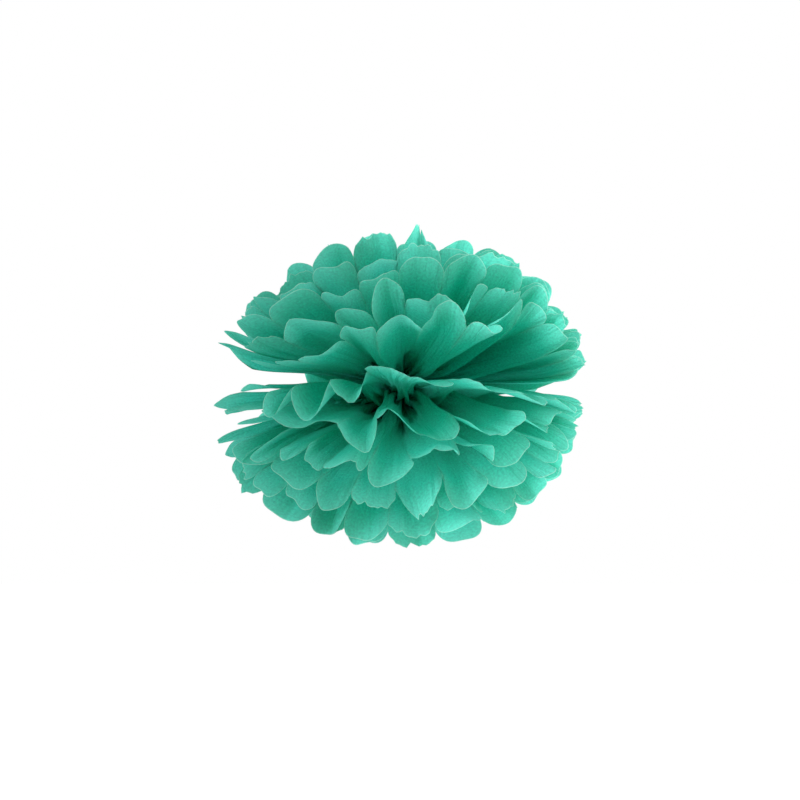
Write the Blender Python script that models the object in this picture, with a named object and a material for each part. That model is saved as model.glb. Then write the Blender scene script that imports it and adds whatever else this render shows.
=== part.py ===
"""Tissue paper pom pom, tied at the waist and opened out into a ball.

A stack of tissue sheets is pleated into one strip, cut round at both ends and tied across its
middle with wire. Each end of each sheet then opens like a fan, and the fans are lifted apart like
the pages of a book whose spine lies along X.

Frame: metres, +Z up, origin at the middle of the tie. The crown faces -Y, the folds run along Z
through the tie, and the outermost folds of every fan reach out along X. The fans are fully open on
the right, +X, and half shut on the left.
"""

import math

import bpy
import numpy as np

# Counts
SHEETS = 10
PLEATS = 12

# Paper, in metres
STRIP_LENGTH = 0.262  # round tip to round tip of the folded strip
PLEAT_WIDTH = 0.032
TIP_ROUNDING = 0.024  # how far the round cut runs in from the tip
PAPER_THICKNESS = 0.00035  # one modelled layer, thicker than the real paper
PAPER_GAP = 0.0003  # between layers in the waist

# Waist and tie, in metres
WAIST_WIDTH = 0.010  # the gathered pleats, along X
TIE_ROOM = 0.0016  # straight paper on each side of the wire
GATHER_REACH = 0.055  # the pleats stand at their full depth from this distance on
WIRE_RADIUS = 0.0004
WIRE_GAP = 0.0003
WIRE_BEND = 0.0012  # radius of the wire's corners round the waist
TWIST_LENGTH = 0.010  # the two wire ends, twisted together
TWIST_TURNS = 2

# How the fans are opened, in degrees. A page's elevation is 0 at the equator and 90 at the crown
UPPER_FRONT_DEG = 71.0
UPPER_BACK_DEG = -90.0
LOWER_FRONT_DEG = 92.0
LIP_RAISE_DEG = 6.5  # how far the front page of the lower fans is lifted over the tie
LOWER_BACK_DEG = -71.0
PAGE_BULGE_DEG = 13.0  # how far the pages between those crowd towards the crown
PAGE_DROOP_DEG = 6.0  # how far the tips of a page fall back towards the equator
UPPER_TUCK_DEG = 15.0  # how far a page at the crown falls back near the tie
LOWER_TUCK_DEG = 3.0
PAGE_STEP_DEG = 4.5  # least angle between neighbouring pages, where the pleats are steep
RIGHT_END_DEG = 88.0  # from the middle of a fan to its last fold, near +X
RIGHT_SWING_DEG = 1.0  # how much that comes and goes from page to page
RIGHT_WAVES = 3.7  # radians of that wave for each radian of a page's elevation
LEFT_WEDGE_DEG = 15.0  # on the left the first folds stay this far off the X axis, half shut
LEFT_LEAST_DEG = 42.0  # from the middle of a fan to its first fold, at least
BLADE_DEG = 12.0  # from page to page the first folds come and go by this much, as narrow blades
BLADE_WAVES = 6.0
BLADE_PANELS = 2.0
SEAM_TILT_DEG = 9.0  # the lower fans close over the tie in front, and the upper ones behind
SEAM_DEG = 2.0  # between the upper and lower fans there

# How the ball is shaped, as shares
CROWN_SPREAD_SHARE = 0.18  # share of a fan's right side lost by a page that points at the crown
EQUATOR_CROWD_SHARE = 0.15  # how much closer together the outer folds lie than the middle ones
CROWN_CROWD_SHARE = 0.25
UPPER_UPRIGHT_SHARE = 0.80  # the paper bows, so upright folds reach less far than side ones
LOWER_UPRIGHT_SHARE = 0.86
FORWARD_SHARE = 0.92
END_FULLNESS_SHARE = 0.08  # how far the last folds stand off the X axis, over their length
RIGHT_LEAN_SHARE = 0.40  # the upper front pages lean back on the right
LEAN_PEAK_SHARE = 0.45  # and most of all this far from the middle to the right end
LEAN_LOST_SHARE = 0.5  # half of that lean is lost again at the right end
LEFT_LEAN_SHARE = 0.20  # on the left they lean forward
LOWER_DROOP_SHARE = 0.65  # the lower pages droop less than the upper ones
LEFT_DROOP_SHARE = 0.35  # and even less on the left
DENT_SHARE = 0.10  # the ball is pressed in at its upper left

# How uneven the hand work is, in degrees
STAGGER_DEG = 3.0  # every other petal stands this far in front of its page, the rest behind
FOLD_LIFT_DEG = 6.5
PETAL_BOW_DEG = 7.0
PETAL_CURL_DEG = 9.0
PETAL_TWIST_DEG = 9.0
PETAL_CREASE_DEG = 40.0  # slope of the two halves of a petal on either side of its own crease
HINGE_SHARE = 0.25  # how far that crease may lie off the petal's middle, over its width
SEED = 7

CREASE_DEG = 25.0  # a fold steeper than this, in degrees, shows as a crease

# How uneven the whole ball is, as shares
SIDE_CALM_SHARE = 0.6  # share of the unevenness lost at the outermost folds, where the pages close up
FRONT_CALM_SHARE = 0.3  # and towards the tips of the two front sheets
LIP_CALM_SHARE = 0.8  # and of the lower front sheet, which lies over the tie as a lip
OUTER_START_SHARE = 0.3  # the outer part of a petal starts this far out, over its length
OUTER_BLEND_SHARE = 0.35  # and is reached over this much of it
RIPPLE_SHARE = 0.040  # waves through the ball, over its radius
SEAM_ARCH_SHARE = 0.030  # how far the seam is pushed up in front, over that radius
SEAM_ARCH_FALL = 3.0  # how fast that turns into a push down towards the sides
# The waves through the ball: turns along three axes, step in phase, and weight
WAVES = ((4.3, 2.1, 1.9, 1.0, 0.62), (7.9, -5.3, -2.2, 2.7, 0.44), (-3.1, 8.7, 3.4, 4.1, 0.31))
WAVE_STARTS = (1.0, 2.6, 4.3)

PAPER_COLOUR = (0.03, 0.36, 0.23)
WIRE_COLOUR = (0.04, 0.16, 0.10)

LAYER_PITCH = PAPER_THICKNESS + PAPER_GAP
HALF_LENGTH = STRIP_LENGTH / 2

# Rows of one fan, from the waist out: the share of each pleat at which a row has points
INNER_SHARES = (0.0, 0.5)
NOTCH_SHARES = (0.0, 0.33, 0.67)
TIP_SHARES = (0.09, 0.34, 0.66, 0.91)


def pleat_wave(u):
    """+1 on even folds and -1 on odd ones, straight in between."""
    return 2 * np.abs(u % 2 - 1) - 1


def smooth_step(t):
    t = np.clip(t, 0, 1)
    return t * t * (3 - 2 * t)


def hand_work():
    """Seeded unevenness: a lift for each fold, and the bends and creases of each petal."""
    draw = np.random.default_rng(SEED)
    folds = (2, SHEETS, PLEATS + 1)
    petals = (2, SHEETS, PLEATS)
    return {
        "lift": np.radians(FOLD_LIFT_DEG) * draw.uniform(-1, 1, folds),
        "bow": np.radians(PETAL_BOW_DEG) * draw.uniform(-1, 1, petals),
        "curl": np.radians(PETAL_CURL_DEG) * draw.uniform(-1, 1, petals),
        "twist": np.radians(PETAL_TWIST_DEG) * draw.uniform(-1, 1, petals),
        "crease": np.radians(PETAL_CREASE_DEG) * draw.uniform(-1, 1, petals),
        "hinge": 0.5 + HINGE_SHARE * draw.uniform(-1, 1, petals),
    }


def tip_reach(u):
    """Distance from the tie to the round end of the strip at pleat coordinate u."""
    across = 2 * (u % 1) - 1
    return HALF_LENGTH - TIP_ROUNDING * (1 - np.sqrt(np.clip(1 - across**2, 0, 1)))


def waist_half(sheet):
    """Where a sheet turns up from the waist, outside the sheets that lie nearer the crown."""
    return WIRE_RADIUS + TIE_ROOM + LAYER_PITCH * np.minimum(sheet, SHEETS - 1 - sheet)


def ripple(a, b, c, start):
    """A smooth wave of about -1 to 1 through the whole ball."""
    wave = 0.0
    for turn_a, turn_b, turn_c, step, weight in WAVES:
        wave = wave + weight * np.sin(turn_a * a + turn_b * b + turn_c * c + step * start)
    return wave


def pushed_about(points):
    """Bends the space that the ball fills, so that neighbours move together and never cross."""
    x, y, z = np.moveaxis(points / HALF_LENGTH, -1, 0)
    shift_x = ripple(x, y, z, WAVE_STARTS[0])
    shift_y = ripple(y, z, x, WAVE_STARTS[1])
    shift_z = ripple(z, x, y, WAVE_STARTS[2])
    shift = RIPPLE_SHARE * np.stack([shift_x, shift_y, shift_z], axis=-1)
    shift[..., 2] += SEAM_ARCH_SHARE * smooth_step(-y) * (1 - SEAM_ARCH_FALL * x**2)
    reached = np.clip(x**2 + y**2 + z**2, 0, 1)
    dent = DENT_SHARE * np.clip((z - x) / np.sqrt(2), 0, 1) ** 2
    return points * (1 - dent[..., None]) + HALF_LENGTH * reached[..., None] * shift


def upright_share(side):
    return UPPER_UPRIGHT_SHARE if side > 0 else LOWER_UPRIGHT_SHARE


def fan_ends(side, page):
    """Angles from the middle out to the left and right ends of a fan at that elevation."""
    share = (page / (np.pi / 2)) ** 2
    wave = RIGHT_SWING_DEG * np.sin(RIGHT_WAVES * page + side)
    right = np.radians(RIGHT_END_DEG + wave) * (1 - CROWN_SPREAD_SHARE * share)
    left = np.arctan2(upright_share(side) * np.cos(page), np.tan(np.radians(LEFT_WEDGE_DEG)))
    return np.maximum(left, np.radians(LEFT_LEAST_DEG)), right


def turned_out(side, u, page):
    """Angle from the middle of a fan to pleat coordinate u; middle petals are the widest."""
    left, right = fan_ends(side, page)
    share = (page / (np.pi / 2)) ** 2
    crowding = EQUATOR_CROWD_SHARE + (CROWN_CROWD_SHARE - EQUATOR_CROWD_SHARE) * share
    along = 2 * u / PLEATS - 1
    spread = along * (1 + crowding * (1 - along**2))
    blades = np.radians(BLADE_DEG) * np.sin(BLADE_WAVES * page + side)
    blades = blades * smooth_step((BLADE_PANELS + 1 - u) / BLADE_PANELS)
    return (right - left) / 2 + (right + left) / 2 * spread - blades


def page_levels(side):
    """Elevation of each sheet's page, from the crown that faces -Y to the back."""
    share = np.arange(SHEETS) / (SHEETS - 1)
    first = UPPER_FRONT_DEG if side > 0 else LOWER_FRONT_DEG
    last = UPPER_BACK_DEG if side > 0 else LOWER_BACK_DEG
    levels = first + (last - first) * share + PAGE_BULGE_DEG * np.sin(np.pi * share)
    if side < 0:
        levels[0] += LIP_RAISE_DEG
    return np.radians(levels)


def outer_part(reach):
    """0 near the tie, rising to 1 in the outer part of a petal."""
    return smooth_step((reach / HALF_LENGTH - OUTER_START_SHARE) / OUTER_BLEND_SHARE)


def past_notch(reach):
    """0 up to the notch between two petals, rising to 1 at the tip."""
    return np.clip((reach - HALF_LENGTH + TIP_ROUNDING) / TIP_ROUNDING, 0, 1)


def side_calm(u):
    """1 over most of a fan, less towards its two ends, where the pages close up."""
    return 1 - SIDE_CALM_SHARE * (2 * u / PLEATS - 1) ** 4


def sheet_calm(side, reach):
    """1 for most sheets; the front ones lie flatter towards their tips."""
    calm = np.zeros((SHEETS, 1))
    calm[:2] = FRONT_CALM_SHARE
    if side < 0:
        calm[0] = LIP_CALM_SHARE
    return 1 - calm * outer_part(reach)


def pleat_swing(side, u, reach, level):
    """How far the folds stand off a page of that elevation, so that a pleat keeps its width."""
    opening = turned_out(side, u + 0.5, level) - turned_out(side, u - 0.5, level)
    spacing = WAIST_WIDTH / PLEATS + reach * opening
    depth = np.sqrt(np.clip(PLEAT_WIDTH**2 - spacing**2, 0, None))
    return depth / (2 * reach) * side_calm(u)


def page_angles(side, u, reach, work):
    """Elevation of every sheet's page over the equator at samples (u, reach), in layer order."""
    half = 0 if side > 0 else 1
    petal = np.clip(np.floor(u).astype(int), 0, PLEATS - 1)
    across = u - petal
    share, tip = reach / HALF_LENGTH, past_notch(reach)
    arch = np.sin(np.pi * np.clip(across, 0, 1))
    lift = work["lift"][half]
    folds = lift[:, petal] * (1 - across) + lift[:, petal + 1] * across
    stagger = np.radians(STAGGER_DEG) * np.where(petal % 2, -1, 1)

    uneven = folds * share**2 + work["bow"][half][:, petal] * arch * share
    uneven = uneven + (work["curl"][half][:, petal] + stagger) * np.sqrt(arch) * tip
    uneven = uneven + work["twist"][half][:, petal] * (2 * across - 1) * tip
    bent = np.abs(across - work["hinge"][half][:, petal]) - 0.5
    uneven = uneven + work["crease"][half][:, petal] * bent * arch * share**2

    level = page_levels(side)[:, None]
    tuck = np.radians(UPPER_TUCK_DEG if side > 0 else LOWER_TUCK_DEG)
    crown_share = np.clip(level / (np.pi / 2), 0, None)
    level = level - tuck * crown_share**3 * (1 - outer_part(reach))
    along = 2 * u / PLEATS - 1
    droop = np.radians(PAGE_DROOP_DEG) * share**2
    if side > 0:
        fallen = 1 - LEAN_LOST_SHARE * smooth_step((along - LEAN_PEAK_SHARE) / (1 - LEAN_PEAK_SHARE))
        lean = RIGHT_LEAN_SHARE * smooth_step(along / LEAN_PEAK_SHARE) * fallen
        lean = lean - LEFT_LEAN_SHARE * smooth_step(-along)
        level = level - lean * np.clip(level, 0, None)
    else:
        droop = droop * (LOWER_DROOP_SHARE - LEFT_DROOP_SHARE * smooth_step(-2 * along))
    uneven = side_calm(u) * uneven + pleat_wave(u) * pleat_swing(side, u, reach, level)
    angle = level * (1 - droop) + sheet_calm(side, reach) * uneven
    return in_layer_order(side, angle, reach)


def in_layer_order(side, angle, reach):
    """Lays each page against its neighbours where it would pass through them."""
    room = np.radians(PAGE_STEP_DEG) + LAYER_PITCH / np.maximum(reach, WAIST_WIDTH)
    front = np.radians(90 - side * SEAM_TILT_DEG - SEAM_DEG / 2)
    back = -np.radians(90 + side * SEAM_TILT_DEG - SEAM_DEG / 2)
    angle = angle.copy()
    for i in range(SHEETS):
        angle[i] = np.minimum(angle[i], angle[i - 1] - room if i else front)
    for i in reversed(range(SHEETS)):
        angle[i] = np.maximum(angle[i], angle[i + 1] + room if i < SHEETS - 1 else back)
    return angle


def fan_points(side, u, reach, work):
    """Where samples (u, reach) of every sheet's upper (side 1) or lower (side -1) fan lie."""
    page = page_angles(side, u, reach, work)
    turned = turned_out(side, u, page)
    sheet = np.arange(SHEETS)[:, None]
    out = reach - waist_half(sheet)
    fullness = END_FULLNESS_SHARE * (reach / HALF_LENGTH) ** 2 * np.sin(turned) ** 4
    lever = out * (np.cos(turned) + fullness)
    x = WAIST_WIDTH * (u / PLEATS - 0.5) + out * np.sin(turned)
    y = LAYER_PITCH * (sheet - (SHEETS - 1) / 2) - FORWARD_SHARE * lever * np.sin(page)
    z = waist_half(sheet) + upright_share(side) * lever * np.cos(page)
    return pushed_about(np.stack([x, y, side * z], axis=-1))


def waist_points(side, u):
    """The fold lines where they enter the waist, on one side of the tie."""
    sheet = np.arange(SHEETS)
    x = np.broadcast_to(WAIST_WIDTH * (u / PLEATS - 0.5), (SHEETS, len(u)))
    y = np.broadcast_to((LAYER_PITCH * (sheet - (SHEETS - 1) / 2))[:, None], x.shape)
    z = np.broadcast_to((side * waist_half(sheet))[:, None], x.shape)
    return np.stack([x, y, z], axis=-1)


def zip_rows(lower, upper, along, flip):
    """Triangles between two rows of vertex indices, taken in order of their pleat coordinate."""
    faces = []
    a, b = 0, 0
    while a < len(lower) - 1 or b < len(upper) - 1:
        take_lower = b == len(upper) - 1 or (
            a < len(lower) - 1 and along[lower[a + 1]] <= along[upper[b + 1]]
        )
        if take_lower:
            face = (lower[a], lower[a + 1], upper[b])
            a += 1
        else:
            face = (lower[a], upper[b + 1], upper[b])
            b += 1
        faces.append(face[::-1] if flip else face)
    return faces


def row_of(shares):
    """Pleat coordinates of a row that runs the whole width of the sheet."""
    inside = [k + s for k in range(PLEATS) for s in shares]
    return np.array([*inside, float(PLEATS)])


def fan_layout():
    """Samples of one fan past the waist, as (u, reach), with the sizes of its rows."""
    inner, notch = row_of(INNER_SHARES), row_of(NOTCH_SHARES)
    tips = np.array([k + s for k in range(PLEATS) for s in TIP_SHARES])
    u = np.concatenate([inner, notch, tips])
    reach = np.concatenate(
        [
            np.full(len(inner), GATHER_REACH),
            np.full(len(notch), HALF_LENGTH - TIP_ROUNDING),
            tip_reach(tips),
        ]
    )
    return u, reach, len(inner), len(notch)


def fan_faces(first, u, inner_count, notch_count, waist_row, flip):
    """Faces of one fan whose samples start at vertex first, and which leaves from waist_row."""
    inner = list(range(first, first + inner_count))
    notch = list(range(first + inner_count, first + inner_count + notch_count))
    faces = zip_rows(waist_row, inner, u, flip)
    faces += zip_rows(inner, notch, u, flip)
    steps = len(NOTCH_SHARES)
    for k in range(PLEATS):
        edge = notch[k * steps : k * steps + steps + 1]
        start = first + inner_count + notch_count + k * len(TIP_SHARES)
        tip = list(range(start, start + len(TIP_SHARES)))
        faces += zip_rows(edge, tip, u, flip)
    return faces


def sheet_faces():
    """Pleat coordinates and faces of a whole sheet: waist rows first, then the two fans."""
    waist = np.arange(PLEATS + 1, dtype=float)
    u, _, inner_count, notch_count = fan_layout()
    columns = len(waist)
    upper_row, lower_row = list(range(columns)), list(range(columns, 2 * columns))
    along = np.concatenate([waist, waist, u, u])
    upper_first, lower_first = 2 * columns, 2 * columns + len(u)
    faces = zip_rows(lower_row, upper_row, along, False)
    faces += fan_faces(upper_first, along, inner_count, notch_count, upper_row, False)
    faces += fan_faces(lower_first, along, inner_count, notch_count, lower_row, True)
    return faces


def paper_material():
    return principled("tissue_paper", PAPER_COLOUR, roughness=0.85, metallic=0.0)


def wire_material():
    return principled("florist_wire", WIRE_COLOUR, roughness=0.45, metallic=0.6)


def principled(name, colour, roughness, metallic):
    material = bpy.data.materials.new(name)
    material.use_nodes = True
    shader = material.node_tree.nodes["Principled BSDF"]
    shader.inputs["Base Color"].default_value = (*colour, 1.0)
    shader.inputs["Roughness"].default_value = roughness
    shader.inputs["Metallic"].default_value = metallic
    material.diffuse_color = (*colour, 1.0)
    return material


def add_object(name, data, material):
    data.materials.append(material)
    new = bpy.data.objects.new(name, data)
    bpy.context.scene.collection.objects.link(new)
    return new


def build_sheets(material):
    """One pleated sheet after another, from the crown that faces -Y to the back."""
    work = hand_work()
    waist = np.arange(PLEATS + 1, dtype=float)
    u, reach, _, _ = fan_layout()
    rows = [waist_points(1, waist), waist_points(-1, waist)]
    rows += [fan_points(1, u, reach, work), fan_points(-1, u, reach, work)]
    points = np.concatenate(rows, axis=1)
    faces = sheet_faces()
    for i in range(SHEETS):
        mesh = bpy.data.meshes.new(f"sheet_{i + 1:02d}")
        mesh.from_pydata(points[i].tolist(), [], faces)
        mesh.shade_smooth()
        mesh.set_sharp_from_angle(angle=math.radians(CREASE_DEG))
        sheet = add_object(mesh.name, mesh, material)
        shell = sheet.modifiers.new("paper", "SOLIDIFY")
        shell.thickness = PAPER_THICKNESS
        shell.offset = 0.0
        shell.use_even_offset = False


def twist_strand(start_x, turn):
    """One of the two wire ends, from the waist out along +X; the other starts half a turn on."""
    strand = WIRE_RADIUS + WIRE_GAP / 2
    steps = 8 * TWIST_TURNS
    points = []
    for step in range(steps + 1):
        angle = turn + 2 * math.pi * TWIST_TURNS * step / steps
        x = start_x + TWIST_LENGTH * step / steps
        points.append((x, strand * math.cos(angle), strand * math.sin(angle)))
    return points


def tie_route():
    """Middle line of the wire: in along the twist, once round the waist, and out again."""
    off = WIRE_RADIUS + WIRE_GAP
    half_x = WAIST_WIDTH / 2 + PAPER_THICKNESS + off
    half_y = (LAYER_PITCH * (SHEETS - 1) + PAPER_THICKNESS) / 2 + off
    ring = []
    for quarter, (sign_x, sign_y) in enumerate(((1, 1), (-1, 1), (-1, -1), (1, -1))):
        for step in range(5):
            angle = math.pi / 2 * (quarter + step / 4)
            x = sign_x * (half_x - WIRE_BEND) + WIRE_BEND * math.cos(angle)
            y = sign_y * (half_y - WIRE_BEND) + WIRE_BEND * math.sin(angle)
            ring.append((x, y, 0.0))
    start_x = half_x + WIRE_BEND
    return [*reversed(twist_strand(start_x, 0.0)), *ring, *twist_strand(start_x, math.pi)]


def build_tie(material):
    """Florist's wire round the waist, between the upper fans and the lower ones."""
    curve = bpy.data.curves.new("waist_tie", "CURVE")
    curve.dimensions = "3D"
    curve.bevel_depth = WIRE_RADIUS
    curve.bevel_resolution = 1
    curve.use_fill_caps = True
    route = tie_route()
    line = curve.splines.new("POLY")
    line.points.add(len(route) - 1)
    for point, place in zip(line.points, route):
        point.co = (*place, 1.0)
    add_object("waist_tie", curve, material)


def clear_scene():
    for old in list(bpy.data.objects):
        bpy.data.objects.remove(old)


def main():
    clear_scene()
    build_sheets(paper_material())
    build_tie(wire_material())


main()
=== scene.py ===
"""Looks of a tissue paper pom pom: dyed sheets with round-cut petals, a wire tie, and a white studio.

Every sheet is one grid of paper. Its columns run across the pleats and its rows run from the tip
of the lower fan, through the waist, to the tip of the upper fan. The fans are lifted apart like
the pages of a book whose spine lies along X, and the crown of petals faces -Y.
"""

import math

import bpy
import numpy as np
from bpy.props import FloatProperty, IntProperty, PointerProperty, StringProperty
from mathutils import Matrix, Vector


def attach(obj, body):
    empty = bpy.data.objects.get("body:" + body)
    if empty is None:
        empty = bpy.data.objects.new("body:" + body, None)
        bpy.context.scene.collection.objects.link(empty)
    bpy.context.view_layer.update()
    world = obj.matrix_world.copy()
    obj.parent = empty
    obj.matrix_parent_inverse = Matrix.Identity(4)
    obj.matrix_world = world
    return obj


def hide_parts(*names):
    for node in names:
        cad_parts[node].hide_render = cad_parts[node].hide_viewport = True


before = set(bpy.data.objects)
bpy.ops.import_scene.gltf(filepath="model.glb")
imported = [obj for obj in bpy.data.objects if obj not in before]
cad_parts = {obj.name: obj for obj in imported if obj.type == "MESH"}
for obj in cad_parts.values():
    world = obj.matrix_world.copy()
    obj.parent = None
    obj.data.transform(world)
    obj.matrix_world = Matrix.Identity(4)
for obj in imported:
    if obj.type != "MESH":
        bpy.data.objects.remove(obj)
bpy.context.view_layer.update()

bl_info = {
    "name": "Tissue Pom Pom",
    "version": (1, 0, 0),
    "blender": (4, 5, 0),
    "location": "View3D > Sidebar > Pom Pom",
    "description": "Builds a tissue paper pom pom, its wire tie and a white studio",
    "category": "Object",
}

SHEET_NODES = sorted(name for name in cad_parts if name.startswith("sheet_"))
SHEETS = len(SHEET_NODES)
TIE_NODE = "waist_tie"

# Mesh fineness; rows are a little closer together towards the tips
COLUMNS_PER_PETAL = 20
ROWS_PER_FAN = 44
ROW_CROWDING = 0.9

# Waves that run through the whole ball: turns along three axes, step in phase, and weight
WAVES = ((4.3, 2.1, 1.9, 1.0, 0.62), (7.9, -5.3, -2.2, 2.7, 0.44), (-3.1, 8.7, 3.4, 4.1, 0.31))
WAVE_STARTS = (1.0, 2.6, 4.3)
RIPPLE_SHARE = 0.040
# The seam's arch, and how fast it falls off to the sides
SEAM_ARCH_SHARE = 0.030
SEAM_ARCH_FALL = 3
# How far the ball is pressed in at its upper left
DENT_SHARE = 0.07

# Undulations of a sheet: turns per petal across, turns along, and share of the height. The right side
# was handled most, and its undulations are higher by the last share.
CRINKLES = ((0.7, 0.6, 0.45), (1.6, -1.3, 0.3), (2.9, 2.2, 0.2), (5.3, 0.7, 0.12))
RIGHT_CRINKLE_SHARE = 1.5

# The ball is flatter than round, and its fans close up towards the crown
UPRIGHT_SHARES = {1: 0.83, -1: 0.85}
FORWARD_SHARE = 0.93
CROWN_SPREAD_SHARE = 0.18
EQUATOR_CROWD_SHARE = 0.15
CROWN_CROWD_SHARE = 0.25
# The right ends stand off the axis less than the left ones
RIGHT_FULLNESS_SHARE = 0.4
# Waves of the right ends from page to page, and the step between the two halves
RIGHT_WAVES = 3.7
RIGHT_WAVE_STEP = 1.2

# Upper front pages lean back most at this share of the way to the right end, and less beyond it
LEAN_PEAK_SHARE = 0.45
LEAN_LOST_SHARE = 0.5
# How soon the lip's fall comes in on the way to its sides
LIP_FALL_RATE = 1.5
# Tips of the lower fans fall less than the upper ones, and least at the left
LOWER_DROOP_SHARE = 0.65
LEFT_DROOP_LOSS = 0.35
# Where along the paper the flatter lie of the front sheets begins, and over what share it comes in
OUTER_START_SHARE = 0.3
OUTER_BLEND_SHARE = 0.35

# Folds are sharp near the tie and softer from this share of the way to the tips
FOLD_SOFTNESS = 0.02
TIP_SOFTNESS = 0.10
SOFT_START_SHARE = 0.4
# Small folds beside the tie; they are gone at this multiple of the gather reach
GATHERS_PER_PANEL = 6
GATHERS_END = 1.6
# Where across a petal its crease may lie, and how soft that crease is
HINGE_RANGE = (0.25, 0.75)
HINGE_SOFTNESS = 0.03

# Sheets that count as front ones
UPPER_FRONT_SHEETS = 3
LOWER_FRONT_SHEETS = 4

# Petals pinched shut into a spike: side, sheet, petal, and how far it is shut
FOLDED_PETALS = (
    (1, 5, 3, 0.9),
    (1, 4, 5, 0.9),
    (1, 0, 0, 0.6),
    (1, 1, 0, 0.6),
    (1, 2, 0, 0.5),
    (1, 4, 0, 0.6),
    (-1, 3, 5, 0.7),
    (-1, 0, 0, 0.7),
    (-1, 1, 0, 0.9),
    (-1, 3, 0, 0.6),
    (-1, 5, 0, 0.7),
)
# A spike is longer than an open petal, and lies calmer
FOLDED_STRETCH = 0.08
FOLDED_CALM_SHARE = 0.8
# Shut pleats that stick out at the left end: side, sheet, and degrees past the sheet's other petals
LEFT_BLADES = (
    (1, 0, 6),
    (1, 1, 20),
    (1, 2, 12),
    (1, 4, 6),
    (1, 8, 14),
    (-1, 0, 10),
    (-1, 1, 36),
    (-1, 3, 14),
    (-1, 5, 8),
    (-1, 9, 16),
)
# A blade is this many panels, and the others turn with it over this many more
BLADE_PANELS = 2
BLADE_BLEND_PANELS = 1.6
# Petals whose outer part hangs or stands out of its page: side, sheet, petal, and degrees
FLAPS = (
    (-1, 0, 1, -14),
    (-1, 0, 2, -18),
    (-1, 0, 3, -10),
    (-1, 0, 8, -6),
    (-1, 0, 10, -12),
    (-1, 0, 11, -8),
    (1, 0, 1, 10),
    (1, 0, 2, 8),
)

# The cut of the tips: lopsided, a little flat, some shorter, wavy, and torn here and there
CUT_SKEW = 0.35
CUT_POWER = 2.3
CUT_SHORTER = 0.008
CUT_WOBBLE = 0.0012
CUT_WOBBLE_TURNS = 1.5
CUT_TEETH = 0.0012
TEETH_TURNS = (23, 37)
TEETH_STEPS = (3, 5)
RAGGED_SHARE = 0.12
# The right-hand petals are torn more often, by one more share in this many petals
RAGGED_GROWTH_PETALS = 6

# Depths of the drawn relief, in metres; the creases are drawn deeper than real ones so that they show
CREASE_DEPTH = 0.003
FACET_DEPTH = 0.0004
FIBRE_DEPTH = 0.0003
# How much the fibres cloud the light sent back and the light let through
FACE_CLOUDING = 0.08
GLOW_CLOUDING = 0.24

# The studio's lamps: places round the tie and widths, in metres
FRONT_LAMP = (1.3, -1.2, 0.1)
FILL_LAMP = (1.5, -0.9, -0.5)
REAR_RIGHT_LAMP = (1.6, 0.8, 0.1)
REAR_LEFT_LAMP = (-1.0, 1.4, 0.5)
LAMP_WIDTH = 2.0
REAR_LEFT_WIDTH = 1.2
# Power of the rear left lamp, as a share of the rear right one's
REAR_LEFT_SHARE = 0.05
# The floor's half width, and what is added to its white for the camera
FLOOR_REACH = 4.0
FLOOR_LIFT = 0.5


class PomPomPaper(bpy.types.PropertyGroup):
    """The paper as it was cut and pleated, before the fans were opened."""

    pleats: IntProperty(name="Pleats", description="Panels between folds, each a petal", default=12)
    strip_length: FloatProperty(
        name="Strip length",
        description="Round tip to round tip of the folded strip",
        default=0.262,
        unit="LENGTH",
    )
    pleat_width: FloatProperty(
        name="Pleat width", description="Fold to fold", default=0.032, unit="LENGTH"
    )
    tip_rounding: FloatProperty(
        name="Tip rounding",
        description="How far the round cut runs in from the tip",
        default=0.024,
        unit="LENGTH",
    )
    waist_width: FloatProperty(
        name="Waist width",
        description="The gathered pleats in the tie",
        default=0.010,
        unit="LENGTH",
    )
    waist_half: FloatProperty(
        name="Waist half",
        description="From the tie's middle to where the front sheet turns up",
        default=0.003,
        unit="LENGTH",
    )
    layer_pitch: FloatProperty(
        name="Layer pitch",
        description="From sheet to sheet in the waist",
        default=0.00065,
        unit="LENGTH",
    )
    gather_reach: FloatProperty(
        name="Gather reach",
        description="The pleats stand at their full depth from here on",
        default=0.045,
        unit="LENGTH",
    )
    crinkle_depth: FloatProperty(
        name="Crinkle depth",
        description="Small folds that take up the width of the panels beside the tie",
        default=0.003,
        unit="LENGTH",
    )


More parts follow.
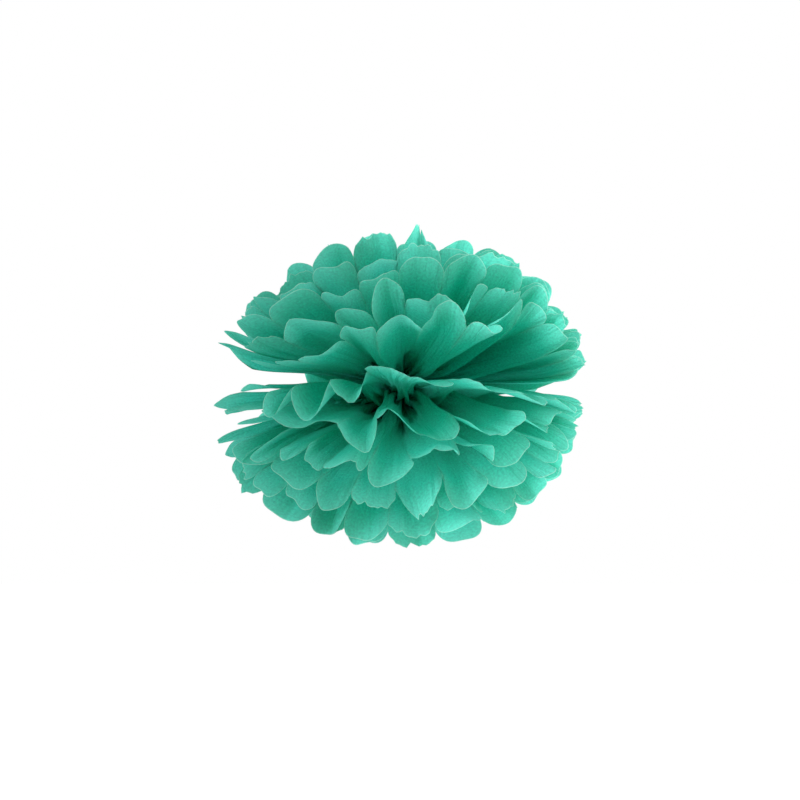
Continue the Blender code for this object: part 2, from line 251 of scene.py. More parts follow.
class PomPomFluff(bpy.types.PropertyGroup):
    """How the fans are opened, and how uneven the hand work is."""

    upper_front: FloatProperty(
        name="Upper front page",
        description="Its sheet, forward from upright",
        default=math.radians(75),
        unit="ROTATION",
    )
    upper_back: FloatProperty(
        name="Upper back page",
        description="Its sheet, back from upright",
        default=math.radians(-90),
        unit="ROTATION",
    )
    lower_front: FloatProperty(
        name="Lower front page",
        description="Its sheet, forward from straight down",
        default=math.radians(92),
        unit="ROTATION",
    )
    lower_back: FloatProperty(
        name="Lower back page",
        description="Its sheet, back from straight down",
        default=math.radians(-71),
        unit="ROTATION",
    )
    page_bulge: FloatProperty(
        name="Page bulge",
        description="Crowding of the pages to the crown",
        default=math.radians(13),
        unit="ROTATION",
    )
    page_droop: FloatProperty(
        name="Page droop",
        description="Fall of the tips away from their page",
        default=math.radians(6),
        unit="ROTATION",
    )
    page_step: FloatProperty(
        name="Page step",
        description="Least angle between pages",
        default=math.radians(3),
        unit="ROTATION",
    )
    side_angle: FloatProperty(
        name="Side angle",
        description="Unevenness of the right ends",
        default=math.radians(1),
        unit="ROTATION",
    )
    seam_tilt: FloatProperty(
        name="Seam tilt",
        description="Lean of the seam between the two halves",
        default=math.radians(9),
        unit="ROTATION",
    )
    seam_angle: FloatProperty(
        name="Seam angle",
        description="Between the two halves",
        default=math.radians(2),
        unit="ROTATION",
    )
    fold_lift: FloatProperty(
        name="Fold lift",
        description="Unevenness of the folds",
        default=math.radians(6.5),
        unit="ROTATION",
    )
    petal_bow: FloatProperty(
        name="Petal bow", description="Bow across a petal", default=math.radians(7), unit="ROTATION"
    )
    petal_curl: FloatProperty(
        name="Petal curl", description="Curl of a tip", default=math.radians(9), unit="ROTATION"
    )
    stagger: FloatProperty(
        name="Stagger",
        description="Every other petal in front",
        default=math.radians(3),
        unit="ROTATION",
    )
    petal_twist: FloatProperty(
        name="Petal twist",
        description="One edge over the next",
        default=math.radians(9),
        unit="ROTATION",
    )
    petal_crease: FloatProperty(
        name="Petal crease",
        description="A fold down each petal",
        default=math.radians(26),
        unit="ROTATION",
    )
    petal_flare: FloatProperty(
        name="Petal flare",
        description="Share wider than its pleat",
        default=0.18,
    )
    side_calm: FloatProperty(
        name="Side calm",
        description="Pleats laid flat at the right end",
        default=0.6,
    )
    least_lever: FloatProperty(
        name="Least lever",
        description="Limit of pleat depth at the sides",
        default=0.3,
    )
    right_lean: FloatProperty(
        name="Right lean",
        description="Share by which upper front pages lean back at the right",
        default=0.34,
    )
    left_lean: FloatProperty(
        name="Left lean", description="Share by which they lean forward at the left", default=0.2
    )
    lip_raise: FloatProperty(
        name="Lip raise",
        description="Of the lower front sheet",
        default=math.radians(6.5),
        unit="ROTATION",
    )
    end_fullness: FloatProperty(
        name="End fullness", description="Share that the ends stand off the axis", default=0.08
    )
    left_wedge: FloatProperty(
        name="Left wedge",
        description="Left open above and below the axis",
        default=math.radians(20),
        unit="ROTATION",
    )
    left_least: FloatProperty(
        name="Left least",
        description="Least opening to the left",
        default=math.radians(42),
        unit="ROTATION",
    )
    right_reach: FloatProperty(
        name="Right reach",
        description="Right ends past the axis",
        default=math.radians(1.5),
        unit="ROTATION",
    )
    crinkle_height: FloatProperty(
        name="Crinkle height", description="Of the undulations", default=0.0012, unit="LENGTH"
    )
    lip_liveliness: FloatProperty(
        name="Lip liveliness", description="Unevenness of the lower front sheet", default=0.12
    )
    lip_fall: FloatProperty(
        name="Lip fall",
        description="Fall of the lip at its sides",
        default=math.radians(3),
        unit="ROTATION",
    )
    inner_tuck: FloatProperty(
        name="Inner tuck",
        description="Upper pages pulled in at their roots",
        default=math.radians(5),
        unit="ROTATION",
    )
    front_gathers: FloatProperty(
        name="Front gathers", description="How much deeper flatter sheets are gathered", default=1.5
    )
    front_liveliness: FloatProperty(
        name="Front liveliness", description="Unevenness of the upper front sheets", default=0.6
    )
    lower_liveliness: FloatProperty(
        name="Lower liveliness", description="Unevenness of the sheets below the lip", default=0.55
    )
    seed: IntProperty(name="Seed", description="Another pom pom of the same kind", default=7)


class PomPomLook(bpy.types.PropertyGroup):
    """Dye and fibre of the paper, and the coating of the wire."""

    face_colour: StringProperty(
        name="Face",
        description="Light sent back, sRGB hex",
        default="#02AA8E",
    )
    glow_colour: StringProperty(
        name="Glow",
        description="Light let through, sRGB hex",
        default="#4CE0CA",
    )
    fibre_length: FloatProperty(
        name="Fibre length",
        description="Clouds of fibre in the paper",
        default=0.0016,
        unit="LENGTH",
    )
    crease_pitch: FloatProperty(
        name="Crease pitch",
        description="Between faint creases along the folds",
        default=0.004,
        unit="LENGTH",
    )
    crease_length: FloatProperty(
        name="Crease length", description="Of the faint creases", default=0.045, unit="LENGTH"
    )
    crease_strength: FloatProperty(
        name="Crease strength",
        description="Of the faint creases",
        default=0.7,
    )
    facet_size: FloatProperty(
        name="Facet size",
        description="Flats between handling creases",
        default=0.013,
        unit="LENGTH",
    )
    facet_strength: FloatProperty(
        name="Facet strength", description="Of the handling creases", default=0.25
    )
    fibre_strength: FloatProperty(
        name="Fibre strength",
        description="Of the fibre relief",
        default=0.08,
    )
    # Painted light: the pale line along the cut, its colour and its share stand in for light shining
    # through the single thin edge
    painted_line_width: FloatProperty(
        name="Rim width", description="Pale line along the cut", default=0.0007, unit="LENGTH"
    )
    painted_glow_colour: StringProperty(
        name="Cut edge",
        description="Thin paper, sRGB hex",
        default="#DAF9ED",
    )
    painted_line_share: FloatProperty(name="Rim share", description="How pale that line is", default=0.5)
    # Painted light: the fade to the pale colour towards the tips stands in for light through the
    # single-layer tips, not a paler paper
    painted_fade_width: FloatProperty(
        name="Fade width", description="Paler paper towards the tips", default=0.022, unit="LENGTH"
    )
    painted_fade_share: FloatProperty(name="Fade share", description="How pale the tips are", default=0.13)
    thinness: FloatProperty(name="Thinness", description="Share of light let through", default=0.64)
    wire_colour: StringProperty(name="Wire", description="Coating, sRGB hex", default="#2F5A40")


class PomPomStage(bpy.types.PropertyGroup):
    """Camera, lamps, sky and floor."""

    camera_distance: FloatProperty(
        name="Camera distance", description="In front of the tie", default=1.1, unit="LENGTH"
    )
    frame_width: FloatProperty(
        name="Frame width",
        description="What the picture spans at the tie",
        default=0.5535,
        unit="LENGTH",
    )
    camera_drop: FloatProperty(
        name="Camera drop", description="Camera below the tie", default=0.0078, unit="LENGTH"
    )
    floor_drop: FloatProperty(
        name="Floor drop", description="Floor below the tie", default=0.60, unit="LENGTH"
    )
    floor_colour: StringProperty(
        name="Floor",
        description="Matt floor, sRGB hex",
        default="#E7E7E7",
    )
    sky: FloatProperty(name="Sky", description="Light from all round", default=0.8)
    key_power: FloatProperty(
        name="Key power",
        description="Lamp in front at the right",
        default=14.0,
        unit="POWER",
    )
    fill_power: FloatProperty(
        name="Fill power", description="Lamp at the lower right", default=18.0, unit="POWER"
    )
    back_power: FloatProperty(
        name="Back power",
        description="Lamp behind at the right",
        default=44.0,
        unit="POWER",
    )


def linear(hex_colour):
    """Linear RGBA of an sRGB hex colour."""
    values = [int(hex_colour[i : i + 2], 16) / 255 for i in (1, 3, 5)]
    return (*[v / 12.92 if v <= 0.04045 else ((v + 0.055) / 1.055) ** 2.4 for v in values], 1.0)


def smooth_step(t):
    """0 up to t = 0, 1 from t = 1 on, and a soft rise between."""
    t = np.clip(t, 0, 1)
    return t * t * (3 - 2 * t)


def ripple(a, b, c, start):
    """A smooth wave of about -1 to 1 through the whole ball."""
    wave = 0.0
    for turn_a, turn_b, turn_c, step, weight in WAVES:
        wave = wave + weight * np.sin(turn_a * a + turn_b * b + turn_c * c + step * start)
    return wave


def outer_part(share):
    """0 near the tie and 1 further out, at a share of the way to the tips."""
    return smooth_step((share - OUTER_START_SHARE) / OUTER_BLEND_SHARE)


def petal_at(paper, u):
    """Number of the petal at pleat coordinate u."""
    return np.clip(np.floor(u).astype(int), 0, paper.pleats - 1)


class Fan:
    """Where the paper of one half of the ball lies: side 1 for the upper fans, -1 for the lower ones."""

    def __init__(self, paper, fluff, side):
        self.paper = paper
        self.fluff = fluff
        self.side = side
        self.half = paper.strip_length / 2
        self.notch = self.half - paper.tip_rounding
        draw = np.random.default_rng(fluff.seed)
        folds = (2, SHEETS, paper.pleats + 1)
        petals = (2, SHEETS, paper.pleats)
        half = 0 if side > 0 else 1
        self.lift = fluff.fold_lift * draw.uniform(-1, 1, folds)[half]
        self.bow = fluff.petal_bow * draw.uniform(-1, 1, petals)[half]
        self.curl = fluff.petal_curl * draw.uniform(-1, 1, petals)[half]
        self.twist = fluff.petal_twist * draw.uniform(-1, 1, petals)[half]
        self.crease = fluff.petal_crease * draw.uniform(-1, 1, petals)[half]
        self.hinge = draw.uniform(*HINGE_RANGE, petals)[half]
        self.blades = np.zeros(SHEETS)
        for blade_side, sheet, degrees in LEFT_BLADES:
            if blade_side == side:
                self.blades[sheet] = np.radians(degrees)
        self.waves = draw.uniform(0, 2 * np.pi, (2, len(CRINKLES), SHEETS))[half]
        self.flaps = np.zeros((SHEETS, paper.pleats))
        for flap_side, sheet, petal, degrees in FLAPS:
            if flap_side == side:
                self.flaps[sheet, petal] = np.radians(degrees)
        self.pinch = np.zeros((SHEETS, paper.pleats))
        for folded_side, sheet, petal, share in FOLDED_PETALS:
            if folded_side == side:
                self.pinch[sheet, petal] = share

    def calm(self, u):
        """Pleats and petals are laid flatter towards the right end of the fan."""
        along = 2 * u / self.paper.pleats - 1
        return 1 - self.fluff.side_calm * np.clip(along, 0, 1) ** 4

    def order(self):
        """How lively each sheet is: the front ones lie flatter, and the lower one is a wavy lip."""
        lively = np.ones(SHEETS)
        if self.side > 0:
            lively[:UPPER_FRONT_SHEETS] = self.fluff.front_liveliness
        else:
            lively[:LOWER_FRONT_SHEETS] = self.fluff.lower_liveliness
            lively[0] = self.fluff.lip_liveliness
        return lively[:, None, None]

    def ends(self, page):
        """Angles from the middle out to the fan's left and right ends: the left one stays half shut."""
        closed = 1 - CROWN_SPREAD_SHARE * (page / (np.pi / 2)) ** 2
        wave = self.fluff.side_angle * np.sin(RIGHT_WAVES * page + RIGHT_WAVE_STEP * self.side)
        right = (np.pi / 2 + self.fluff.right_reach + wave) * closed
        left = np.arctan2(UPRIGHT_SHARES[self.side] * np.cos(page), np.tan(self.fluff.left_wedge))
        return np.maximum(left, self.fluff.left_least), right

    def levels(self):
        """Page angle of each sheet, from the front one to the back one."""
        share = np.arange(SHEETS) / (SHEETS - 1)
        fluff = self.fluff
        first = fluff.upper_front if self.side > 0 else fluff.lower_front
        last = fluff.upper_back if self.side > 0 else fluff.lower_back
        levels = first + (last - first) * share + fluff.page_bulge * np.sin(np.pi * share)
        if self.side < 0:
            levels[0] += fluff.lip_raise
        return levels

    def turned(self, u, page):
        """Angle from the middle of the fan at pleat coordinate u; middle petals are the widest."""
        left, right = self.ends(page)
        along = 2 * u / self.paper.pleats - 1
        share = (page / (np.pi / 2)) ** 2
        crowding = EQUATOR_CROWD_SHARE + (CROWN_CROWD_SHARE - EQUATOR_CROWD_SHARE) * share
        spread = along * (1 + crowding * (1 - along**2))
        blades = self.blades[:, None, None] * smooth_step((BLADE_PANELS + 1 - u) / BLADE_BLEND_PANELS)
        return (right - left) / 2 + (right + left) / 2 * spread - blades

    def swing(self, u, reach, level):
        """Half the page angle between two neighbouring folds, so that panels keep their width."""
        paper = self.paper
        reach = np.maximum(reach, paper.gather_reach)
        opening = self.turned(u + 0.5, level) - self.turned(u - 0.5, level)
        spacing = paper.waist_width / paper.pleats + reach * opening
        depth = np.sqrt(np.clip(paper.pleat_width**2 - spacing**2, 0, None))
        lever = np.maximum(np.cos(self.turned(u, level)), self.fluff.least_lever)
        return depth / (2 * reach * lever) * self.calm(u)

    def wave(self, u, reach):
        """+1 on even folds and -1 on odd ones; the creases soften towards the tips."""
        outer = (reach / self.half - SOFT_START_SHARE) / (1 - SOFT_START_SHARE)
        soft = FOLD_SOFTNESS + TIP_SOFTNESS * smooth_step(outer)
        t = u % 2 - 1
        return 2 * (np.sqrt(t**2 + soft**2) - soft) / (np.sqrt(1 + soft**2) - soft) - 1

    def leaning(self, u, share):
        """Page angle before the petals: the lip falls at its sides, and upper pages lean."""
        fluff = self.fluff
        along = 2 * u / self.paper.pleats - 1
        level = self.levels()[:, None, None]
        if self.side < 0:
            lip = (np.arange(SHEETS) == 0)[:, None, None]
            return level - lip * fluff.lip_fall * smooth_step(LIP_FALL_RATE * np.abs(along))
        level = level - fluff.inner_tuck * (level / (np.pi / 2)) ** 3 * (1 - outer_part(share))
        past_peak = smooth_step((along - LEAN_PEAK_SHARE) / (1 - LEAN_PEAK_SHARE))
        lean = smooth_step(along / LEAN_PEAK_SHARE) * (1 - LEAN_LOST_SHARE * past_peak)
        lean = fluff.right_lean * lean - fluff.left_lean * smooth_step(-along)
        return level - lean * np.clip(level, 0, None)

    def droop(self, u, share):
        """How far the tips fall away from their page, as a share of its angle."""
        fall = self.fluff.page_droop * share**2
        if self.side > 0:
            return fall
        along = 2 * u / self.paper.pleats - 1
        return fall * (LOWER_DROOP_SHARE - LEFT_DROOP_LOSS * smooth_step(-2 * along))

    def petals(self, u, reach, level):
        """What pleats and petals add to the page angle: height, bow, curl, twist, crease and hang."""
        paper, fluff = self.paper, self.fluff
        petal = petal_at(paper, u)
        across = u - petal
        share = reach / self.half
        tip = np.clip((reach - self.notch) / paper.tip_rounding, 0, 1)
        arch = np.sin(np.pi * np.clip(across, 0, 1))
        pinch = self.pinch[:, None, petal] * tip
        stagger = fluff.stagger * np.where(petal % 2, -1, 1)
        lift = self.lift[:, None, petal] * (1 - across) + self.lift[:, None, petal + 1] * across
        uneven = lift * share**2 + self.bow[:, None, petal] * arch * share
        uneven = uneven + (self.curl[:, None, petal] + stagger) * np.sqrt(arch) * tip
        uneven = uneven + self.twist[:, None, petal] * (2 * across - 1) * tip
        bent = np.sqrt((across - self.hinge[:, None, petal]) ** 2 + HINGE_SOFTNESS**2) - 0.5
        uneven = uneven + self.crease[:, None, petal] * bent * arch * share**2
        uneven = uneven + self.wave(u, reach) * self.swing(u, reach, level)
        flatter = (1 - self.order()) * outer_part(share)
        lively = self.calm(u) * (1 - flatter) * (1 - FOLDED_CALM_SHARE * pinch)
        folded = pinch * (2 * across - 1) * paper.pleat_width / (2 * self.half)
        flap = self.flaps[:, None, petal] * arch * smooth_step(2 * share - 1)
        return lively * uneven + folded + flap

    def pages(self, u, reach):
        """Page angle of every sample, with each sheet kept in its place between its neighbours."""
        paper = self.paper
        share = reach / self.half
        level = self.leaning(u, share)
        angle = level * (1 - self.droop(u, share))
        angle = angle + self.calm(u) * self.crinkled(u, reach) / np.maximum(reach, paper.gather_reach)
        angle = angle + self.petals(u, reach, level)
        angle = angle + self.gathers(u, reach) / np.maximum(reach, paper.waist_width)
        return self.in_layer_order(angle, reach)

    def gathers(self, u, reach):
        """Small folds beside the tie that take up the width of the panels there, in metres."""
        depth = self.paper.crinkle_depth * smooth_step(GATHERS_END - reach / self.paper.gather_reach)
        depth = depth * (1 + self.fluff.front_gathers * (1 - self.order()))
        return depth * self.wave(GATHERS_PER_PANEL * u + 0.5, 0)

    def crinkled(self, u, reach):
        """Shallow undulations of each sheet, deeper on the handled right side, in metres."""
        handled = smooth_step(2 * u / self.paper.pleats - 1)
        depth = self.fluff.crinkle_height * (1 + RIGHT_CRINKLE_SHARE * handled)
        height = 0.0
        for (across, out, share), start in zip(CRINKLES, self.waves):
            phase = 2 * np.pi * (across * u + out * reach / self.half)
            height = height + share * np.sin(phase + start[:, None, None])
        return depth * (reach / self.half) * height

    def in_layer_order(self, angle, reach):
        """Lays each page against its neighbours where it would pass through them."""
        paper, fluff = self.paper, self.fluff
        room = fluff.page_step + paper.layer_pitch / np.maximum(reach, paper.waist_width)
        tilt = self.side * fluff.seam_tilt
        front = np.pi / 2 - tilt - fluff.seam_angle / 2
        back = fluff.seam_angle / 2 - tilt - np.pi / 2
        for i in range(SHEETS):
            angle[i] = np.minimum(angle[i], angle[i - 1] - room[i] if i else front)
        for i in reversed(range(SHEETS)):
            angle[i] = np.maximum(angle[i], angle[i + 1] + room[i] if i < SHEETS - 1 else back)
        return angle

    def points(self, u, reach):
        """Places of every sheet's samples, as an array of sheets, rows, columns and x, y, z."""
        paper = self.paper
        page = self.pages(u, reach)
        petal = petal_at(paper, u)
        tip = np.clip((reach - self.notch) / paper.tip_rounding, 0, 1)
        pinch = self.pinch[:, None, petal]
        flare = self.fluff.petal_flare * (1 - pinch) - pinch
        spread = petal + 0.5 + (u - petal - 0.5) * (1 + flare * tip)
        spacing = paper.waist_width / paper.pleats + reach * np.pi / paper.pleats
        spread = spread + np.where(petal % 2, -1, 1) * self.gathers(u, reach) / spacing
        turned = self.turned(spread, page)
        sheet = np.arange(SHEETS)[:, None, None]
        waist = paper.waist_half + paper.layer_pitch * np.minimum(sheet, SHEETS - 1 - sheet)
        out = (reach - waist) * (1 + FOLDED_STRETCH * pinch * tip)
        fullness = self.fluff.end_fullness * np.where(turned > 0, RIGHT_FULLNESS_SHARE, 1)
        lever = out * (np.cos(turned) + fullness * (reach / self.half) ** 2 * np.sin(turned) ** 4)
        x = paper.waist_width * (u / paper.pleats - 0.5) + out * np.sin(turned)
        y = paper.layer_pitch * (sheet - (SHEETS - 1) / 2)
        y = y - FORWARD_SHARE * lever * np.sin(page)
        z = waist + UPRIGHT_SHARES[self.side] * lever * np.cos(page)
        return self.pushed_about(np.stack([x, y, self.side * z], axis=-1))

    def pushed_about(self, points):
        """The unevenness of the whole ball, and an arched seam across its crown."""
        x, y, z = np.moveaxis(points / self.half, -1, 0)
        shift_x = ripple(x, y, z, WAVE_STARTS[0])
        shift_y = ripple(y, z, x, WAVE_STARTS[1])
        shift_z = ripple(z, x, y, WAVE_STARTS[2])
        shift = RIPPLE_SHARE * np.stack([shift_x, shift_y, shift_z], axis=-1)
        shift[..., 2] += SEAM_ARCH_SHARE * smooth_step(-y) * (1 - SEAM_ARCH_FALL * x**2)
        reached = np.clip(x**2 + y**2 + z**2, 0, 1)
        dent = DENT_SHARE * np.clip((z - x) / np.sqrt(2), 0, 1) ** 2
        return points * (1 - dent[..., None]) + self.half * reached[..., None] * shift


def columns_of(paper):
    """Pleat coordinates of the grid's columns, closest together beside the notches."""
    step = np.arange(COLUMNS_PER_PETAL) / COLUMNS_PER_PETAL
    inside = step / 2 + (1 - np.cos(np.pi * step)) / 4
    return np.concatenate([*(k + inside for k in range(paper.pleats)), [float(paper.pleats)]])


def tip_reach(paper, u, draw):
    """Distance from the tie to the hand-cut tips at pleat coordinate u, for every sheet of one half."""
    petal = petal_at(paper, u)
    size = (SHEETS, paper.pleats)
    torn_share = RAGGED_SHARE * (1 + np.arange(paper.pleats) / RAGGED_GROWTH_PETALS)
    skew = draw.uniform(-CUT_SKEW, CUT_SKEW, size)[:, petal]
    start = draw.uniform(0, 2 * np.pi, size)[:, petal]
    shorter = CUT_SHORTER * draw.uniform(0, 1, size)[:, petal] ** 2
    ragged = (draw.uniform(0, 1, size) < torn_share)[:, petal]
    across = u - petal
    arch = across * (1 - across)
    round_cut = 2 * (across + skew * arch) - 1
    cut = 1 - np.clip(1 - np.abs(round_cut) ** CUT_POWER, 0, 1) ** (1 / CUT_POWER)
    wobble = CUT_WOBBLE * np.sin(2 * np.pi * CUT_WOBBLE_TURNS * across + start)
    teeth = sum(np.sin(turns * across + step * start) for turns, step in zip(TEETH_TURNS, TEETH_STEPS))
    uneven = wobble + CUT_TEETH * ragged * (teeth - 1) - shorter
    return paper.strip_length / 2 - paper.tip_rounding * cut + 4 * arch * uneven


def sheet_grids(paper, fluff):
    """Places and flat coordinates of all sheets' grids, rows running from lower tip to upper tip."""
    u = columns_of(paper)
    out = np.linspace(0, 1, ROWS_PER_FAN) ** ROW_CROWDING
    sheet = np.arange(SHEETS)[:, None, None]
    waist = paper.waist_half + paper.layer_pitch * np.minimum(sheet, SHEETS - 1 - sheet)
    across = (u - paper.pleats / 2) * paper.pleat_width
    draw = np.random.default_rng(fluff.seed + 1)
    places, flats, edges = [], [], []
    for side in (-1, 1):
        ends = tip_reach(paper, u, draw)[:, None, :]
        reach = waist + out[None, :, None] * (ends - waist)
        fan = Fan(paper, fluff, side).points(u, reach)
        flat = np.stack([np.broadcast_to(across, reach.shape), side * reach], axis=-1)
        places.append(fan[:, ::side])
        flats.append(flat[:, ::side])
        edges.append((ends - reach)[:, ::side])
    return [np.concatenate(parts, axis=1) for parts in (places, flats, edges)]


def grid_mesh(name, places, flat, edge):
    """One sheet's mesh, with flat coordinates and the distance to the cut, both in metres."""
    rows, columns = places.shape[:2]
    index = np.arange(rows * columns).reshape(rows, columns)
    corners = [index[:-1, :-1], index[:-1, 1:], index[1:, 1:], index[1:, :-1]]
    faces = np.stack(corners, axis=-1).reshape(-1, 4)
    mesh = bpy.data.meshes.new(name)
    mesh.from_pydata(places.reshape(-1, 3), [], faces)
    uv = mesh.uv_layers.new(name="flat_metres")
    loops = flat.reshape(-1, 2)[faces.ravel()]
    uv.data.foreach_set("uv", loops.astype(np.float32).ravel())
    mesh.attributes.new("edge_metres", "FLOAT", "POINT").data.foreach_set("value", edge.ravel())
    mesh.shade_smooth()
    return mesh


def add_node(tree, kind, settings=None, links=None, **sockets):
    """Adds a shader node: its settings, links into its inputs by name or number, and input values."""
    node = tree.nodes.new(kind)
    for key, value in (settings or {}).items():
        setattr(node, key, value)
    for key, value in sockets.items():
        node.inputs[key.replace("_", " ")].default_value = value
    for key, source in (links or {}).items():
        tree.links.new(source, node.inputs[key])
    return node


def new_material(name):
    """An empty material and its node tree."""
    material = bpy.data.materials.new(name)
    material.use_nodes = True
    material.node_tree.nodes.clear()
    return material, material.node_tree


def tissue_paper(look):
    """Tissue paper, dyed in the pulp and dried on a smooth roller: thin, matt and soft.

    To the eye it glows where light is behind a single petal and deepens where petals lie on each other.
    A pale colour painted along the cut and towards the tips stands in for that glow of light through a
    single layer, and pleating by hand leaves faint creases and small flats.
    """
    material, tree = new_material("tissue_paper")
    flat = add_node(tree, "ShaderNodeUVMap", {"uv_map": "flat_metres"}).outputs["UV"]
    # Single fibres are too fine to show, so only the clouds they form are drawn
    clouds = add_node(
        tree,
        "ShaderNodeTexNoise",
        links={"Vector": flat},
        Scale=1 / look.fibre_length,
        Detail=4.0,
        Roughness=0.65,
    ).outputs["Fac"]
    # Painted light: a pale glow along the cut and towards the tips, mixed into the reflected and the
    # let-through colour
    painted_glow = painted_edge_glow(tree, look)
    normal = paper_relief(tree, look, flat, clouds)
    face_dye = dyed(tree, look.face_colour, look.painted_glow_colour, clouds, painted_glow, FACE_CLOUDING)
    glow_dye = dyed(tree, look.glow_colour, look.painted_glow_colour, clouds, painted_glow, GLOW_CLOUDING)
    face = add_node(
        tree,
        "ShaderNodeBsdfPrincipled",
        links={"Normal": normal, "Base Color": face_dye},
        Roughness=0.7,
        Specular_IOR_Level=0.15,
    ).outputs[0]
    glow = add_node(
        tree, "ShaderNodeBsdfTranslucent", links={"Normal": normal, "Color": glow_dye}
    ).outputs[0]
    both = add_node(tree, "ShaderNodeMixShader", links={1: face, 2: glow}, Fac=look.thinness)
    add_node(tree, "ShaderNodeOutputMaterial", links={"Surface": both.outputs[0]})
    return material


def painted_edge_glow(tree, look):
    """Painted glow near the cut, standing in for light through the single layer: a thin line, and a wide
    soft fade.
    """
    edge = add_node(tree, "ShaderNodeAttribute", {"attribute_name": "edge_metres"}).outputs["Fac"]
    line = add_node(
        tree,
        "ShaderNodeMapRange",
        links={"Value": edge},
        From_Max=look.painted_line_width,
        To_Min=look.painted_line_share,
        To_Max=0.0,
    ).outputs["Result"]
    fade = add_node(
        tree,
        "ShaderNodeMapRange",
        links={"Value": edge},
        From_Max=look.painted_fade_width,
        To_Min=look.painted_fade_share,
        To_Max=0.0,
    ).outputs["Result"]
    return add_node(tree, "ShaderNodeMath", {"operation": "ADD"}, {0: line, 1: fade}).outputs[0]


def paper_relief(tree, look, flat, clouds):
    """Faint creases along the folds, flats between handling creases, and the fibres' own relief."""
    stretched = add_node(
        tree,
        "ShaderNodeMapping",
        links={"Vector": flat},
        Scale=(1 / look.crease_pitch, 1 / look.crease_length, 1.0),
    ).outputs["Vector"]
    creases = add_node(
        tree, "ShaderNodeTexNoise", links={"Vector": stretched}, Scale=1.0, Detail=3.0, Distortion=0.6
    ).outputs["Fac"]
    facets = add_node(
        tree,
        "ShaderNodeTexVoronoi",
        {"feature": "DISTANCE_TO_EDGE"},
        {"Vector": flat},
        Scale=1 / look.facet_size,
    ).outputs["Distance"]
    flats = add_node(
        tree, "ShaderNodeMapRange", links={"Value": facets}, From_Max=0.05
    ).outputs["Result"]
    normal = add_node(
        tree,
        "ShaderNodeBump",
        links={"Height": creases},
        Strength=look.crease_strength,
        Distance=CREASE_DEPTH,
    ).outputs["Normal"]
    normal = add_node(
        tree,
        "ShaderNodeBump",
        links={"Height": flats, "Normal": normal},
        Strength=look.facet_strength,
        Distance=FACET_DEPTH,
    ).outputs["Normal"]
    return add_node(
        tree,
        "ShaderNodeBump",
        links={"Height": clouds, "Normal": normal},
        Strength=look.fibre_strength,
        Distance=FIBRE_DEPTH,
    ).outputs["Normal"]


def dyed(tree, hex_colour, painted_glow_colour, clouds, painted_glow, clouding):
    """A dye colour, clouded by the fibres, with a painted pale glow mixed in along the cut and towards
    the tips.
    """
    shade = add_node(
        tree,
        "ShaderNodeMapRange",
        links={"Value": clouds},
        From_Min=0.3,
        From_Max=0.7,
        To_Min=1 - clouding,
        To_Max=1 + clouding,
    ).outputs["Result"]
    dye = add_node(tree, "ShaderNodeVectorMath", {"operation": "SCALE"}, {"Scale": shade})
    dye.inputs[0].default_value = linear(hex_colour)[:3]
    dye = dye.outputs["Vector"]
    # Painted glow: mixes the pale colour in where light through a single layer would show
    paler = add_node(tree, "ShaderNodeMix", {"data_type": "RGBA"}, {"Factor": painted_glow, 6: dye})
    paler.inputs[7].default_value = linear(painted_glow_colour)
    return paler.outputs[2]


def coated_wire(look):
    """Florist's wire, wound with dyed paper and waxed: a matt dark green thread."""
    material, tree = new_material("paper_coated_wire")
    shader = add_node(
        tree, "ShaderNodeBsdfPrincipled", Base_Color=linear(look.wire_colour), Roughness=0.7
    )
    add_node(tree, "ShaderNodeOutputMaterial", links={"Surface": shader.outputs[0]})
    return material


class PomPomBuildSheets(bpy.types.Operator):
    """Builds the pleated and opened tissue sheets"""

    bl_idname = "pompom.build_sheets"
    bl_label = "Build Sheets"

    def execute(self, context):
        paper, fluff = context.scene.pompom_paper, context.scene.pompom_fluff
        material = tissue_paper(context.scene.pompom_look)
        places, flats, edges = sheet_grids(paper, fluff)
        for i, node in enumerate(SHEET_NODES):
            name = f"tissue_{node}"
            sheet = bpy.data.objects.new(name, grid_mesh(name, places[i], flats[i] + i, edges[i]))
            sheet.data.materials.append(material)
            context.scene.collection.objects.link(sheet)
            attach(sheet, "root")
            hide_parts(node)
        return {"FINISHED"}


class PomPomFinishTie(bpy.types.Operator):
    """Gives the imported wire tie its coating"""

    bl_idname = "pompom.finish_tie"
    bl_label = "Finish Tie"

    def execute(self, context):
        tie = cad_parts[TIE_NODE]
        tie.data.materials.clear()
        tie.data.materials.append(coated_wire(context.scene.pompom_look))
        return {"FINISHED"}


def area_lamp(context, name, place, size, power):
    """A square lamp that faces the tie."""
    data = bpy.data.lights.new(name, "AREA")
    data.size = size
    data.energy = power
    lamp = bpy.data.objects.new(name, data)
    lamp.location = place
    lamp.rotation_euler = (-Vector(place)).to_track_quat("-Z", "Y").to_euler()
    context.scene.collection.objects.link(lamp)
    return lamp


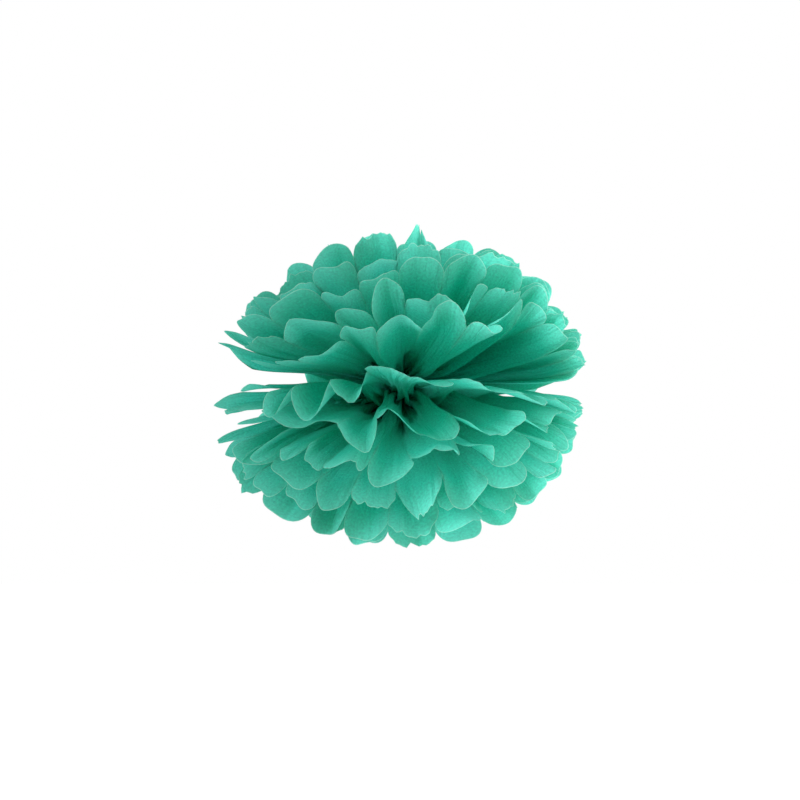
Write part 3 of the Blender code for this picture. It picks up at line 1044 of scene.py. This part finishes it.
class PomPomBuildStage(bpy.types.Operator):
    """Builds the white studio, its lamps and the camera"""

    bl_idname = "pompom.build_stage"
    bl_label = "Build Stage"

    def execute(self, context):
        stage = context.scene.pompom_stage
        self.build_world(context, stage)
        self.build_floor(context, stage)
        area_lamp(context, "front_lamp", FRONT_LAMP, LAMP_WIDTH, stage.key_power)
        area_lamp(context, "fill_lamp", FILL_LAMP, LAMP_WIDTH, stage.fill_power)
        area_lamp(context, "rear_right_lamp", REAR_RIGHT_LAMP, LAMP_WIDTH, stage.back_power)
        rear_left_power = REAR_LEFT_SHARE * stage.back_power
        area_lamp(context, "rear_left_lamp", REAR_LEFT_LAMP, REAR_LEFT_WIDTH, rear_left_power)
        self.build_camera(context, stage)
        context.scene.view_settings.view_transform = "Standard"
        return {"FINISHED"}

    def build_world(self, context, stage):
        """White to the camera, and a softer even light to the paper."""
        world = bpy.data.worlds.new("white_studio")
        world.use_nodes = True
        tree = world.node_tree
        tree.nodes.clear()
        path = add_node(tree, "ShaderNodeLightPath")
        seen = path.outputs["Is Camera Ray"]
        strength = add_node(tree, "ShaderNodeMix", {"data_type": "FLOAT"}, {"Factor": seen})
        strength.inputs[2].default_value = stage.sky
        strength.inputs[3].default_value = 1.0
        light = add_node(
            tree, "ShaderNodeBackground", links={"Strength": strength.outputs[0]}, Color=(1, 1, 1, 1)
        )
        add_node(tree, "ShaderNodeOutputWorld", links={"Surface": light.outputs[0]})
        context.scene.world = world

    def build_floor(self, context, stage):
        """A white floor that shows as white where it is lit, and darker in the shadow."""
        material, tree = new_material("white_floor")
        path = add_node(tree, "ShaderNodeLightPath")
        matt = add_node(tree, "ShaderNodeBsdfDiffuse", Color=linear(stage.floor_colour))
        lift = add_node(
            tree,
            "ShaderNodeEmission",
            links={"Strength": path.outputs["Is Camera Ray"]},
            Color=(FLOOR_LIFT, FLOOR_LIFT, FLOOR_LIFT, 1),
        )
        both = add_node(tree, "ShaderNodeAddShader", links={0: matt.outputs[0], 1: lift.outputs[0]})
        add_node(tree, "ShaderNodeOutputMaterial", links={"Surface": both.outputs[0]})
        mesh = bpy.data.meshes.new("studio_floor")
        signs = ((-1, -1), (1, -1), (1, 1), (-1, 1))
        corners = [(x * FLOOR_REACH, y * FLOOR_REACH, 0) for x, y in signs]
        mesh.from_pydata(corners, [], [(0, 1, 2, 3)])
        mesh.materials.append(material)
        floor = bpy.data.objects.new("studio_floor", mesh)
        floor.location.z = -stage.floor_drop
        context.scene.collection.objects.link(floor)

    def build_camera(self, context, stage):
        """A level camera straight in front of the tie, a little below it."""
        data = bpy.data.cameras.new("camera")
        data.lens = data.sensor_width * stage.camera_distance / stage.frame_width
        camera = bpy.data.objects.new("camera", data)
        camera.location = (0, -stage.camera_distance, -stage.camera_drop)
        camera.rotation_euler = (math.pi / 2, 0, 0)
        context.scene.collection.objects.link(camera)
        context.scene.camera = camera


class PomPomPanel(bpy.types.Panel):
    """Sizes, colours and steps of the pom pom"""

    bl_label = "Pom Pom"
    bl_idname = "VIEW3D_PT_pompom"
    bl_space_type = "VIEW_3D"
    bl_region_type = "UI"
    bl_category = "Pom Pom"

    def draw(self, context):
        for name in GROUPS:
            group = getattr(context.scene, name)
            box = self.layout.box()
            for prop in group.bl_rna.properties:
                if prop.identifier not in ("rna_type", "name"):
                    box.prop(group, prop.identifier)
        for operator in OPERATORS:
            self.layout.operator(operator.bl_idname)


GROUPS = {
    "pompom_paper": PomPomPaper,
    "pompom_fluff": PomPomFluff,
    "pompom_look": PomPomLook,
    "pompom_stage": PomPomStage,
}
OPERATORS = (PomPomBuildSheets, PomPomFinishTie, PomPomBuildStage)


def register():
    for cls in (*GROUPS.values(), *OPERATORS, PomPomPanel):
        bpy.utils.register_class(cls)
    for name, cls in GROUPS.items():
        setattr(bpy.types.Scene, name, PointerProperty(type=cls))


def unregister():
    for name in GROUPS:
        delattr(bpy.types.Scene, name)
    for cls in reversed((*GROUPS.values(), *OPERATORS, PomPomPanel)):
        bpy.utils.unregister_class(cls)


def main():
    register()
    bpy.ops.pompom.build_sheets()
    bpy.ops.pompom.finish_tie()
    bpy.ops.pompom.build_stage()


if __name__ == "__main__":
    main()
